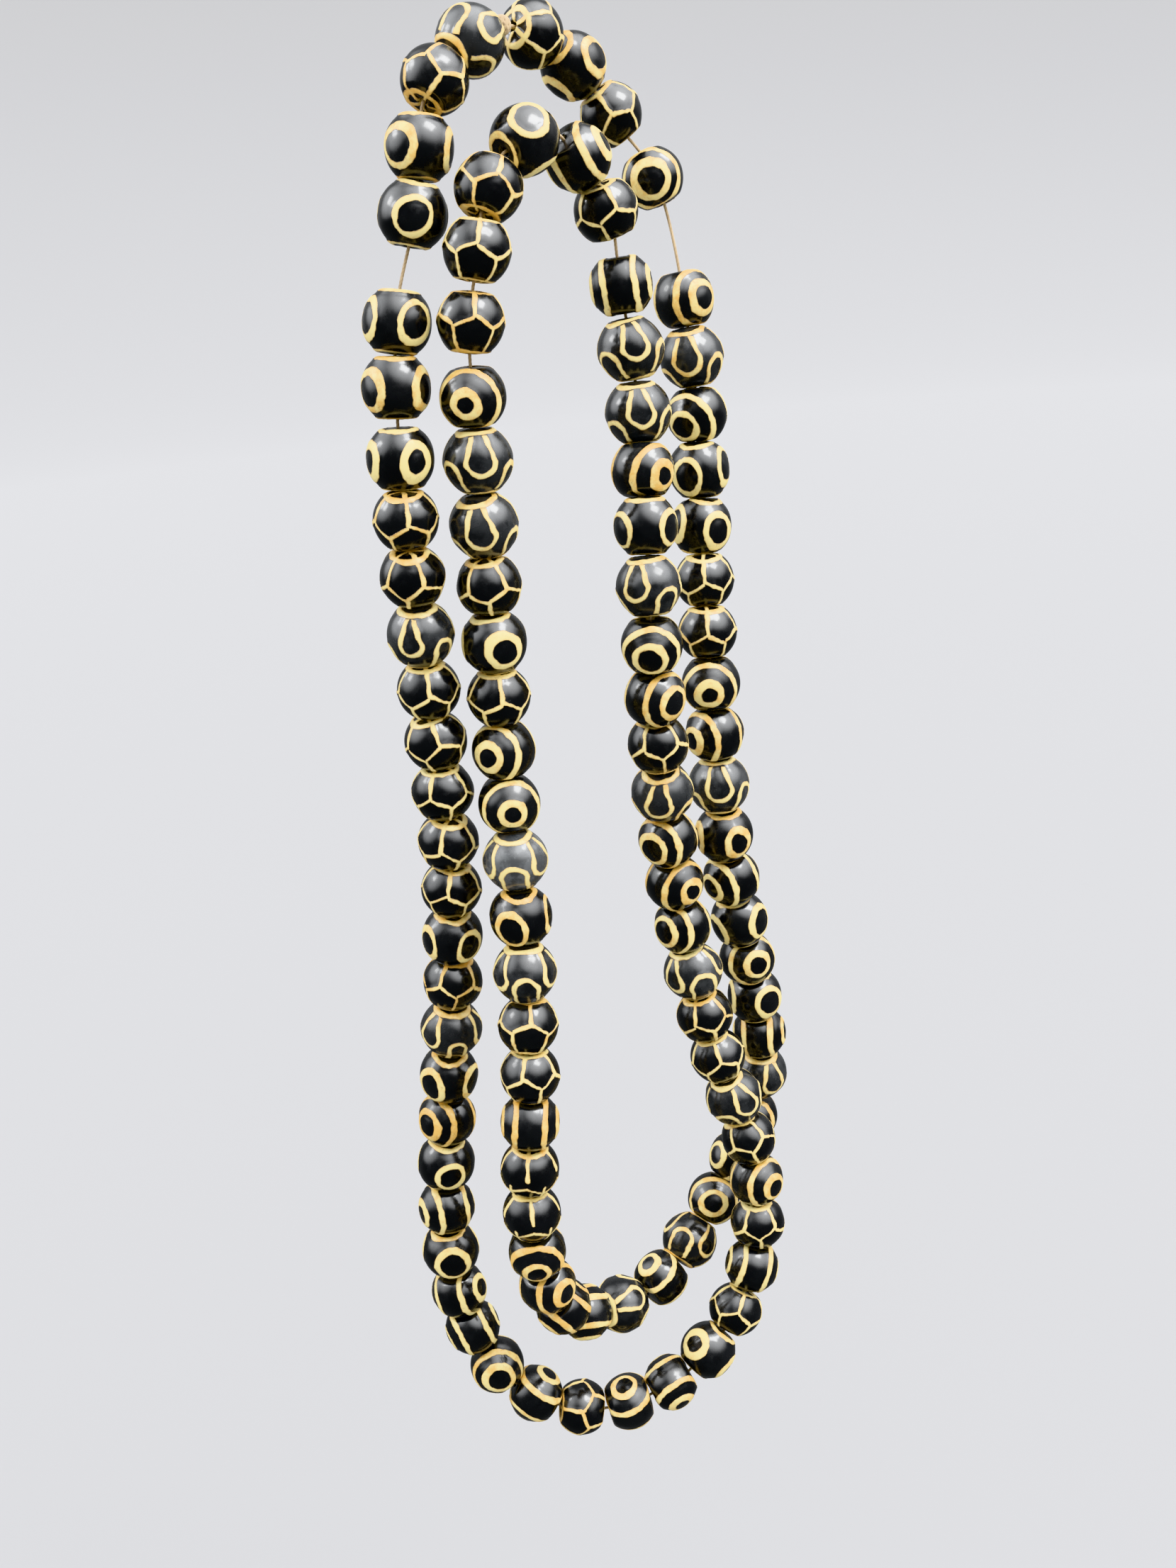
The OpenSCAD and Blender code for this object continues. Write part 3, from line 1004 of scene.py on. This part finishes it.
def bead_material(name, pattern, smoke, warmth):
    """Agate with one of the patterns: stone and line mixed by the share of the line."""
    material, tree, shader = new_material(name)
    place = read_value(tree, "direction", "Vector")
    own = read_value(tree, "own", "Vector")
    own_smoke = read_value(tree, "smoke", "Fac")
    seed = split(tree, own)[0]
    distance = use_group(tree, pattern, {"Direction": place, "Own": own})["Distance"]
    warm = warmth + WARMTH_DIFFERS * (seed - 0.5)
    for_line = {"Distance": distance, "Direction": place, "Seed": seed, "Warmth": warm}
    line = use_group(tree, line_finish, for_line)
    stone = use_group(tree, agate, {"Direction": place, "Seed": seed, "Smoke": smoke * own_smoke})
    share = line["Share"]
    roughness = stone["Roughness"] + (line["Roughness"] - stone["Roughness"]) * share
    feed(tree, shader.inputs["Base Color"], blend_colour(tree, share, stone["Color"], line["Color"]))
    feed(tree, shader.inputs["Roughness"], roughness)
    shader.inputs["IOR"].default_value = STONE_IOR
    shader.inputs["Coat Weight"].default_value = 0.25
    shader.inputs["Coat Roughness"].default_value = 0.12
    add_bump(tree, shader, stone["Height"] + line["Height"], RELIEF_BUMP)
    return material


# Pattern, share of smoke in the stone, and warmth of the lines
bead_materials = {
    "T": bead_material("black_agate_zigzag", pattern_groups["T"], 0.03, -0.04),
    "E": bead_material("black_agate_eyes", pattern_groups["E"], 0.04, -0.02),
    "S": bead_material("black_agate_ringed_eyes", pattern_groups["S"], 0.04, 0.06),
    "L": bead_material("smoky_agate_petals", pattern_groups["L"], 0.22, -0.08),
}
print("bead materials:", len(bead_materials))

# %% [markdown]
# ## All the beads
# Beads are ground and decorated in batches of one kind, and then strung in any order. So the beads of one
# kind on one turn are one piece here. Each grid is made in the bead's own frame and carried to its seat by
# one matrix product. The mesh keeps each point's direction from its bead's centre, so the pattern turns with
# the bead.

# %% Make the beads
# Two sizes of each pattern, in degrees: for eyes the outer edge of the ring and that of the pupil, for petals
# the reach of the upper and of the lower ones, for the zigzag its drop
SIZES = {"T": (0, 0), "E": (37, 23.5), "S": (31.5, 17.5), "L": (23, 20)}
SIZES_DIFFER = 2.0
# Beads whose pattern was drawn larger or smaller than these, by number. Part of both lists began as results
# of the search for the angles, and was then corrected
OWN_SIZES = {4: (40, 26), 5: (39, 25), 6: (38, 21), 9: (19, 18), 17: (22, 17), 18: (40, 26)}
OWN_SIZES |= {19: (36, 22), 20: (33, 20), 22: (40, 27), 25: (39, 24), 30: (34, 16), 34: (32, 20)}
OWN_SIZES |= {36: (23, 23), 39: (20, 26), 40: (36, 25), 41: (30, 18), 42: (37, 24), 45: (35, 21)}
OWN_SIZES |= {46: (36, 24), 59: (28, 13), 66: (29, 14), 67: (23, 24), 68: (39, 27), 69: (23, 23)}
OWN_SIZES |= {73: (18, 0), 74: (18, 0), 80: (30, 16), 82: (34, 20), 87: (39, 25), 94: (31, 14)}
OWN_SIZES |= {97: (40, 25), 98: (41, 27), 99: (33, 21), 101: (37, 20), 102: (41, 25)}
# One bead is far paler than the rest, with this many times the smoke
SMOKY_BEADS = {67: 4.2}
BATCH_NAMES = {"T": "zigzag_beads", "E": "three_eye_beads", "S": "ringed_eye_beads", "L": "petal_beads"}

random = np.random.default_rng(7)
seeds = random.random(len(STRING))
smoke = random.uniform(0.5, 1.3, len(STRING))
usual_sizes = np.array([SIZES[letter.upper()] for letter in STRING])
sizes = usual_sizes + random.uniform(-1, 1, (len(STRING), 2)) * SIZES_DIFFER
smoke[list(SMOKY_BEADS)] = list(SMOKY_BEADS.values())
sizes[list(OWN_SIZES)] = list(OWN_SIZES.values())
own_values = np.column_stack([seeds, sizes * DEG])


def bead_batch(letter, numbers, turn):
    """The beads of one kind on one turn as one piece, each with its seat, pattern, own values and smoke."""
    points, directions = [], []
    for number in numbers:
        centre, axes = frames[number]
        skew = axes @ pattern_axes[number].T
        crowded = np.radians(CROWDED.get(number, 0))
        shape, facing = bead_surface(STRING[number], own_values[number], skew, crowded)
        points.append((centre + shape @ axes) * MM)
        directions.append(facing)
    directions = np.stack(directions)
    own = np.broadcast_to(own_values[numbers][:, None, None], directions.shape)
    smoky = np.broadcast_to(smoke[numbers][:, None, None], directions.shape[:3])
    values = {"direction": directions, "own": own, "smoke": smoky}
    mesh = grid_mesh(f"{BATCH_NAMES[letter]}_{turn}", np.stack(points), values)
    return add_piece(mesh, f"{turn}_turn_beads", bead_materials[letter])


for turn, first, last in (("outer", 0, len(OUTER_TURN)), ("inner", len(OUTER_TURN), len(STRING))):
    for letter in BATCH_NAMES:
        numbers = [number for number in range(first, last) if STRING[number].upper() == letter]
        batch = bead_batch(letter, numbers, turn)
        print(batch.name, "holds", len(numbers), "beads")

# %% [markdown]
# ## The thread
# The thread is a fine twisted cord of three plies, seen bare in a few places near the top and in the cracks
# between the beads. It runs straight through each bead and follows the route between them. Its rings are
# close together only where it shows, and its section has three lobes that turn along its length.

# %% Spin the thread
THREAD_RADIUS = 0.2
THREAD_SIDES = 15
PLIES = 3
TWIST_LENGTH = 1.5
# A gap longer than this shows bare thread and gets the fine spacing of rings
BARE_GAP = 0.7
FINE_SPACING = 0.12
COARSE_SPACING = 0.3
# Where the rings inside a bead stand, as shares of its length
INSIDE_BEAD = np.array([0.15, 0.5, 0.85])


def thread_stations():
    """Centres of the thread's rings and their distances along it: three in each bead, more in each gap."""
    centres, distances = [], []
    for number, (start, end, from_there, to_there) in enumerate(seats):
        following = seats[(number + 1) % len(seats)][2] + (route_length if number == len(seats) - 1 else 0)
        gap = following - to_there
        spacing = FINE_SPACING if gap > BARE_GAP else COARSE_SPACING
        between = to_there + gap * np.linspace(0, 1, max(2, int(gap / spacing)) + 1)[:-1]
        centres.append(start + (end - start) * INSIDE_BEAD[:, None])
        distances.append(from_there + (to_there - from_there) * INSIDE_BEAD)
        centres.append(at(between))
        distances.append(between)
    return np.concatenate(centres), np.concatenate(distances)


def carried_sides(tangents):
    """A side direction at each ring, each one the last made square to the next tangent, closed at the end.

    The small angle that is left after the whole loop is shared out evenly over the rings.
    """
    sides = np.empty_like(tangents)
    side = np.cross(tangents[0], [0.0, 1.0, 0.0])
    for number, tangent in enumerate(tangents):
        side = unit(side - tangent * (tangent @ side))
        sides[number] = side
    back = unit(side - tangents[0] * (tangents[0] @ side))
    miss = np.arctan2(np.cross(sides[0], back) @ tangents[0], sides[0] @ back)
    spread = -miss * np.arange(len(tangents)) / len(tangents)
    across = np.cross(tangents, sides)
    return sides * np.cos(spread)[:, None] + across * np.sin(spread)[:, None]


def twisted_tube(centres, distances, radius, sides_count, plies, pitch):
    """Grid of a closed tube whose section has lobes that turn once in each pitch, and its lobe values.

    The radius at an angle is 0.8 + 0.2 * lobe of the full one, with lobe = |cos(plies / 2 * (angle - turn))|.
    """
    tangents = unit(np.roll(centres, -1, axis=0) - np.roll(centres, 1, axis=0))
    side = carried_sides(tangents)
    other = np.cross(tangents, side)
    angle = np.linspace(0, 2 * np.pi, sides_count, endpoint=False)[None, :]
    turn = (distances / pitch * 2 * np.pi)[:, None]
    lobe = np.abs(np.cos(plies / 2 * (angle - turn)))
    local = radius * (0.8 + 0.2 * lobe)
    ring = np.cos(angle)[..., None] * side[:, None] + np.sin(angle)[..., None] * other[:, None]
    return centres[:, None] + local[..., None] * ring, lobe


centres, distances = thread_stations()
tube = twisted_tube(centres, distances, THREAD_RADIUS, THREAD_SIDES, PLIES, TWIST_LENGTH)
thread_points, thread_lobe = tube
print("thread rings:", len(centres), "triangles:", 2 * len(centres) * THREAD_SIDES)

# %% [markdown]
# ## Fibre finish
# Thread and knot are the same beige fibre. The finish is made of fine flecks for its strands, with painted
# shade in the valleys between the plies and windings, and a little grime. It has no gloss, only a sheen.

# %% Fibre materials
FIBRE_SHADE = (0.42, 0.29, 0.16, 1)
FIBRE_LIGHT = (0.72, 0.58, 0.38, 1)
# Painted shade: the brown that the valleys between plies and windings are darkened towards
PAINTED_VALLEY_SHADE = (0.16, 0.09, 0.045, 1)
GRIME_BROWN = (0.20, 0.13, 0.08, 1)
# Cells of the noise in a metre: strands a tenth of a millimetre wide, and patches of grime
STRAND_SCALE = 9000.0
GRIME_SCALE = 700.0
FIBRE_BUMP = 0.03 * MM


def fibre_group():
    """Node group with the colour, roughness and height of twisted fibre, from a lobe value and a place; valleys
    get painted shade.
    """
    inputs = [("Lobe", "Float"), ("Place", "Vector"), ("Grime", "Float")]
    outputs = [("Color", "Color"), ("Roughness", "Float"), ("Height", "Float")]
    group, given, wanted = new_group("Twisted fibre", inputs, outputs)
    streaks = noise(group, given["Place"], STRAND_SCALE, 0.0, 2.0, 0.6)
    patches = noise(group, given["Place"], GRIME_SCALE, 0.0, 2.0, 0.5)
    # Painted shade: the colour darkens where the lobe value is low, in the valleys between plies or windings
    valley_shade = 1.0 - rise(given["Lobe"], 0.05, 0.6)
    colour = blend_colour(group, streaks, FIBRE_SHADE, FIBRE_LIGHT)
    colour = blend_colour(group, valley_shade * 0.7, colour, PAINTED_VALLEY_SHADE)
    colour = blend_colour(group, given["Grime"] * rise(patches, 0.45, 0.7), colour, GRIME_BROWN)
    feed(group, wanted.inputs["Color"], colour)
    feed(group, wanted.inputs["Roughness"], 0.62 + 0.25 * streaks)
    feed(group, wanted.inputs["Height"], 0.7 * given["Lobe"] + 0.5 * streaks)
    return group


fibre = fibre_group()


def fibre_material(name, grime):
    """Fibre finish on a piece that carries its lobe value; the streaks read Object coordinates."""
    material, tree, shader = new_material(name)
    where = tree.nodes.new("ShaderNodeTexCoord")
    place = Socket(tree, where.outputs["Object"])
    lobe = read_value(tree, "lobe", "Fac")
    found = use_group(tree, fibre, {"Lobe": lobe, "Place": place, "Grime": grime})
    feed(tree, shader.inputs["Base Color"], found["Color"])
    feed(tree, shader.inputs["Roughness"], found["Roughness"])
    shader.inputs["Sheen Weight"].default_value = 0.3
    shader.inputs["Specular IOR Level"].default_value = 0.3
    add_bump(tree, shader, found["Height"], FIBRE_BUMP)
    return material


# The lobe values give the thread painted shade in the valleys between its plies, through the fibre finish
# The rows are taken backwards, so that the faces point outwards
thread_mesh = grid_mesh("twisted_thread", thread_points[None, ::-1] * MM, {"lobe": thread_lobe[None, ::-1]})
thread = add_piece(thread_mesh, "thread", fibre_material("beige_thread", 0.45))
print(thread.name, "has", len(thread_mesh.polygons), "faces")

# %% [markdown]
# ## The knot
# The ends of the thread are tied between two crown beads, where it hardly shows, so the knot is a plain one:
# a small ball wound crosswise. It is a turned shape with a hole, as a bead is, and two sets of slanting
# ridges that cross on its surface are the windings.

# %% Tie the knot
KNOT_RADIUS = 1.2
KNOT_BORE = 0.3
KNOT_ROWS = 40
KNOT_BORE_ROWS = 4
KNOT_COLUMNS = 72
# The knot's bore follows the thread from this far before the knot's middle to as far after it
KNOT_REACH = 0.2
# Ridges of one set of windings: turns round the knot, and how fast they slant
RIDGES = 3
SLANT = 5


def knot_surface():
    """Grid of the knot: a ball with a bore, its radius less by up to a tenth between two sets of windings.

    The ball runs from one mouth of the bore to the other, and a few rows lead back through it.
    """
    tip = np.arcsin(KNOT_BORE / KNOT_RADIUS)
    polar = np.linspace(np.pi - tip, tip, KNOT_ROWS)[:, None]
    angle = np.linspace(0, 2 * np.pi, KNOT_COLUMNS, endpoint=False)[None, :]
    one_way = np.abs(np.cos(RIDGES * angle + SLANT * polar))
    other_way = np.abs(np.cos(RIDGES * angle - SLANT * polar))
    lobe = np.maximum(one_way, other_way)
    radius = KNOT_RADIUS * (0.9 + 0.1 * lobe)
    ball = np.stack(
        [
            radius * np.sin(polar) * np.cos(angle),
            radius * np.sin(polar) * np.sin(angle),
            radius * np.cos(polar) + 0 * angle,
        ],
        axis=-1,
    )
    share = np.linspace(0, 1, KNOT_BORE_ROWS + 2)[1:-1, None, None]
    bore = ball[-1] * (1 - share) + ball[0] * share
    no_lobe = np.zeros((KNOT_BORE_ROWS, KNOT_COLUMNS))
    return np.concatenate([ball, bore]), np.concatenate([lobe, no_lobe])


knot_at = (seats[-1][3] + FIRST_BEAD_AT + route_length) / 2
knot_seat = (at(knot_at - KNOT_REACH), at(knot_at + KNOT_REACH))
knot_centre, knot_axes = bead_frame(knot_seat)
knot_points, knot_lobe = knot_surface()
knot_placed = (knot_centre + knot_points @ knot_axes) * MM
# The lobe values give the knot painted shade between its windings and in its bore, through the fibre finish
knot_mesh = grid_mesh("knot", knot_placed[None], {"lobe": knot_lobe[None]})
knot = add_piece(knot_mesh, "thread_knot", fibre_material("knotted_thread", 0.6))
print("knot at", np.round(knot_centre, 1), "mm")

# %% [markdown]
# ## Floor
# The necklace hangs over a plain pale floor that rises into a wall, so no edge shows behind it. The floor
# gives a little light of its own, which keeps the backdrop even, and it is kept out of the reflections: real
# black stone looks black because a dark room is mirrored in its lower half.

# %% Floor
FLOOR_Z = -0.30
FLOOR_RADIUS = 2.2
CURVE_RADIUS = 0.9
WALL_TOP = 3.5
FLOOR_MIDDLE = 0.001
CURVE_ROWS = 14
FLOOR_COLUMNS = 96
FLOOR_GREY = (0.12, 0.12, 0.125, 1)
FLOOR_GLOW = (0.44, 0.44, 0.45, 1)


def sweep_mesh(radius, curve_radius, height, floor_z):
    """A round floor that curves up into a wall: a quarter circle joins the two, turned round the middle.

    One many-sided face closes the small ring in the middle.
    """
    bend = np.linspace(0, np.pi / 2, CURVE_ROWS)
    r = np.concatenate([[FLOOR_MIDDLE], radius + curve_radius * np.sin(bend), [radius + curve_radius]])
    z = np.concatenate([[0], curve_radius * (1 - np.cos(bend)), [height]])
    angle = np.linspace(0, 2 * np.pi, FLOOR_COLUMNS, endpoint=False)[None, :]
    r, z = r[:, None], z[:, None]
    points = np.stack([r * np.cos(angle), r * np.sin(angle), z + 0 * angle], axis=-1)
    points[..., 2] += floor_z
    rows, columns = points.shape[:2]
    index = np.arange(rows * columns).reshape(rows, columns)
    inner, outer = index[:-1], index[1:]
    corners = np.stack([inner, outer, np.roll(outer, -1, 1), np.roll(inner, -1, 1)], axis=-1)
    mesh = bpy.data.meshes.new("floor")
    middle = list(range(columns))
    mesh.from_pydata(points.reshape(-1, 3), [], [*corners.reshape(-1, 4).tolist(), middle])
    mesh.shade_smooth()
    return mesh


sweep = sweep_mesh(FLOOR_RADIUS, CURVE_RADIUS, WALL_TOP, FLOOR_Z)
floor = bpy.data.objects.new("floor", sweep)
bpy.context.scene.collection.objects.link(floor)
floor_material, _, floor_shader = new_material("pale_floor")
floor_shader.inputs["Base Color"].default_value = FLOOR_GREY
floor_shader.inputs["Roughness"].default_value = 0.9
floor_shader.inputs["Emission Color"].default_value = FLOOR_GLOW
floor_shader.inputs["Emission Strength"].default_value = 1.0
floor.data.materials.append(floor_material)
floor.visible_glossy = False
floor.visible_diffuse = False
floor.visible_transmission = False
floor.visible_shadow = False
print("floor at", FLOOR_Z, "m")

# %% [markdown]
# ## Lamps
# Real beads in such a room show two soft white patches each. Two square lamps from above make them: a strong
# one on the right, a little in front, and a weaker one on the left. They are near, so their light is soft.

# %% Lamps
HEART = np.array([0, 0, -0.08])
KEY_FROM = (0.50, -0.22, 0.84)
FILL_FROM = (-0.78, 0.0, 0.62)


def soft_lamp(name, direction, distance, size, power):
    """A square soft lamp at a distance in a direction from the necklace's middle, facing it."""
    light = bpy.data.lights.new(name, "AREA")
    light.size = size
    light.energy = power
    lamp = bpy.data.objects.new(name, light)
    away = unit(np.array(direction, float))
    lamp.location = (HEART + away * distance).tolist()
    sideways = unit(np.cross([0.0, 1.0, 0.0], away))
    facing = np.stack([sideways, np.cross(away, sideways), away], axis=1)
    lamp.rotation_euler = Matrix(facing.tolist()).to_euler()
    bpy.context.scene.collection.objects.link(lamp)
    return lamp


soft_lamp("key_lamp", KEY_FROM, distance=0.9, size=0.36, power=5.0)
soft_lamp("fill_lamp", FILL_FROM, distance=0.9, size=0.24, power=1.5)
print("lamps:", KEY_FROM, FILL_FROM)

# %% [markdown]
# ## The room
# Polished stone shows the room more than itself. A pale ceiling gives the grey sheen on the upper half of
# each bead, a wide glow round each lamp softens the rims of the highlights, and everything below is dark.
# The matt lines need more light than such a room gives, so light that falls on matt surfaces comes from all
# round.

# %% Room
ROOM_DARK = (0.20, 0.205, 0.205, 1)
ROOM_CEILING = (1.0, 1.02, 1.04, 1)
RIGHT_GLOW = (7.0, 7.1, 7.2, 1)
LEFT_GLOW = (4.5, 4.6, 4.7, 1)
SOFT_BELOW = (0.78, 0.78, 0.75, 1)
SOFT_ABOVE = (1.08, 1.09, 1.10, 1)
BACKDROP = (0.64, 0.64, 0.65, 1)
# The middle of the ceiling lies a little behind the necklace. The ceiling and the two glows are there in full
# where the cosine of the angle to their middle is at the second number, and gone where it is at the first
CEILING_FROM = (0.0, 0.334, 0.943)
CEILING_EDGE = (-0.05, 0.55)
RIGHT_EDGE = (0.55, 1.0)
LEFT_EDGE = (0.70, 1.0)
# The ceiling loses this share of its light towards the back, between these two values of y
BACK_LOSS = 0.75
BACK_EDGE = (0.1, 0.8)


def toward(direction, x, y, z):
    """Cosine of the angle to a unit direction: the sum of its products with x, y and z."""
    along_x, along_y, along_z = direction
    return along_x * x + along_y * y + along_z * z


def room_light():
    """World with three looks: a dark room with a pale ceiling, an all-round soft light, and a plain backdrop.

    Polished stone mirrors the first, in which a wide glow lies round each lamp and the back is darker. Matt
    lines are lit by the second, and the camera sees the third. Each glow and the ceiling rise smoothly with
    the cosine of the angle to their middle.
    """
    world = bpy.data.worlds.new("room")
    world.use_nodes = True
    tree = world.node_tree
    background = tree.nodes["Background"]
    where = tree.nodes.new("ShaderNodeTexCoord")
    x, y, z = split(tree, Socket(tree, where.outputs["Generated"]))
    overhead = rise(toward(CEILING_FROM, x, y, z), *CEILING_EDGE)
    ceiling = overhead * (1.0 - BACK_LOSS * rise(y, *BACK_EDGE))
    right_glow = rise(toward(KEY_FROM, x, y, z), *RIGHT_EDGE)
    left_glow = rise(toward(FILL_FROM, x, y, z), *LEFT_EDGE)
    mirrored = blend_colour(tree, ceiling, ROOM_DARK, ROOM_CEILING)
    mirrored = blend_colour(tree, right_glow, mirrored, RIGHT_GLOW)
    mirrored = blend_colour(tree, left_glow, mirrored, LEFT_GLOW)
    spread = blend_colour(tree, overhead, SOFT_BELOW, SOFT_ABOVE)
    rays = tree.nodes.new("ShaderNodeLightPath")
    matt = Socket(tree, rays.outputs["Is Diffuse Ray"])
    seen = Socket(tree, rays.outputs["Is Camera Ray"])
    colour = blend_colour(tree, matt, mirrored, spread)
    colour = blend_colour(tree, seen, colour, BACKDROP)
    feed(tree, background.inputs["Color"], colour)
    return world


bpy.context.scene.world = room_light()
bpy.context.scene.view_settings.view_transform = "Khronos PBR Neutral"
print("room set, nodes:", len(bpy.context.scene.world.node_tree.nodes))
